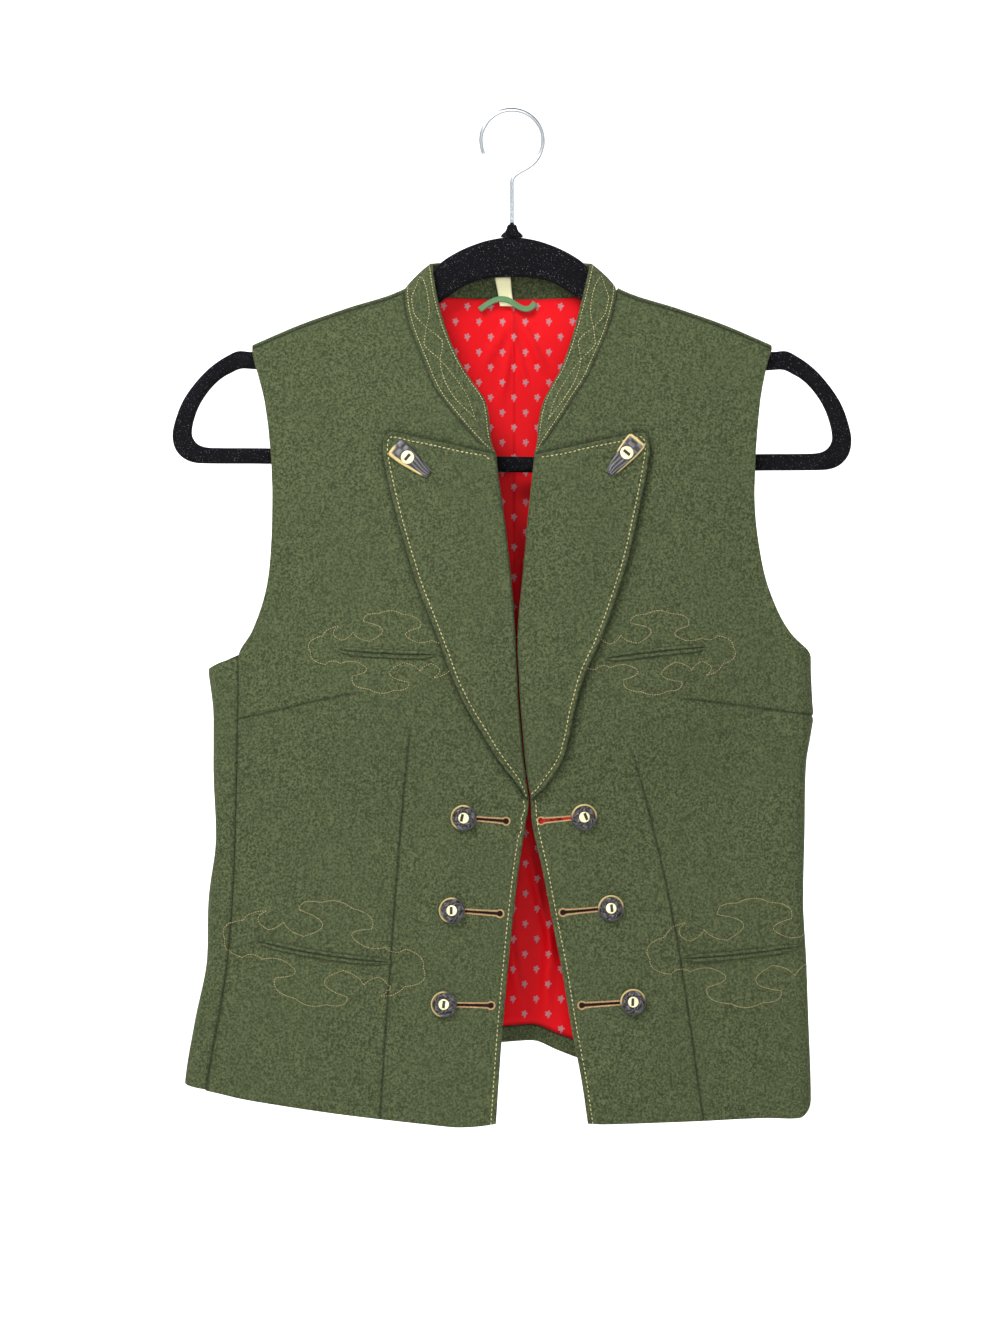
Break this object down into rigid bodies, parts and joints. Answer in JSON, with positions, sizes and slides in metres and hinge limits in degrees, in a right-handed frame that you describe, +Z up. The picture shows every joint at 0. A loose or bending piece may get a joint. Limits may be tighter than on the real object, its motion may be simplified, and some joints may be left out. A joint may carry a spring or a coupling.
{
  "type": "wool waistcoat on a hanger",
  "caption": "Fitted wool waistcoat with stand collar, turned-back lapels and open fronts, hanging on a flat flocked hanger with a wire hook.",
  "frame": {"origin": "inside the top of the hook, where a rail touches it", "axes": "+Z up, along the hook's stem; -Y is the way the fronts face; +X is to the right of someone who faces the waistcoat"},
  "size_m": [0.4484, 0.0642, 0.6695],
  "materials": {
    "wool": "milled green wool with a soft nap",
    "lining": "smooth red cotton satin with small grey flowers",
    "label": "plain cream woven tape",
    "tape": "green ribbed tape",
    "horn": "dark horn look, half gloss",
    "brass": "old brass",
    "flock": "black flock",
    "hook_steel": "bright plated wire"
  },
  "bodies": {
    "root": {"back": "wool", "front_right": "wool", "front_left": "wool", "collar": "wool", "lapel_right": "wool", "lapel_left": "wool", "back_hem_facing": "wool", "pocket_chest_right": "wool", "pocket_chest_left": "wool", "pocket_hip_right": "wool", "pocket_hip_left": "wool", "back_lining": "lining", "neck_label": "label", "hanging_loop": "tape", "button_right_top": "horn", "button_right_middle": "horn", "button_right_bottom": "horn", "button_left_top": "horn", "button_left_middle": "horn", "button_left_bottom": "horn", "lapel_tab_right": "horn", "lapel_tab_left": "horn", "tab_stud_right": "brass", "tab_stud_left": "brass", "hanger_body": "flock", "hanger_boss": "flock", "hanger_hook": "hook_steel"}
  },
  "joints": []
}
